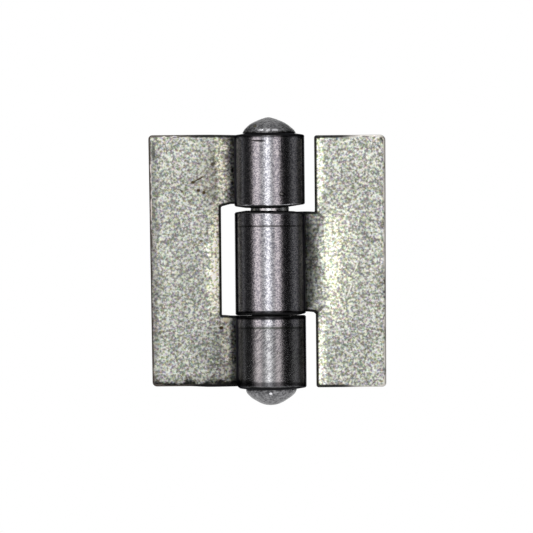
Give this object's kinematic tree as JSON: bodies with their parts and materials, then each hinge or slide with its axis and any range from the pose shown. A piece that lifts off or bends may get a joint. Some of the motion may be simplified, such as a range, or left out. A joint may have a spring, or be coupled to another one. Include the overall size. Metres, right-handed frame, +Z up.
{
  "type": "weld-on hinge",
  "caption": "Steel butt hinge with plain, hole-free leaves set back by a swage bend, curled knuckles and a riveted round pin, for welding in place.",
  "frame": {"origin": "on the pin's axis, at the middle of the left leaf's height", "axes": "+Z up the pin, +X towards the right leaf with the hinge open flat, -Y towards the side where the knuckles stand proud and their seams show"},
  "size_m": [0.0479, 0.0142, 0.0584],
  "materials": {
    "leaf_steel": "bare mill-finish sheet, pale grey and finely speckled on the plates, burnished darker on the knuckles",
    "pin_steel": "dull dark grey bare steel"
  },
  "bodies": {
    "fixed_leaf": {"left_leaf": "leaf_steel", "hinge_pin": "pin_steel"},
    "moving_leaf": {"right_leaf": "leaf_steel"}
  },
  "joints": [
    {"name": "leaf_turn", "type": "hinge", "parent": "fixed_leaf", "child": "moving_leaf", "pos_m": [0, 0, 0], "axis": [0, 0, 1], "range_deg": [-180, 133]}
  ]
}
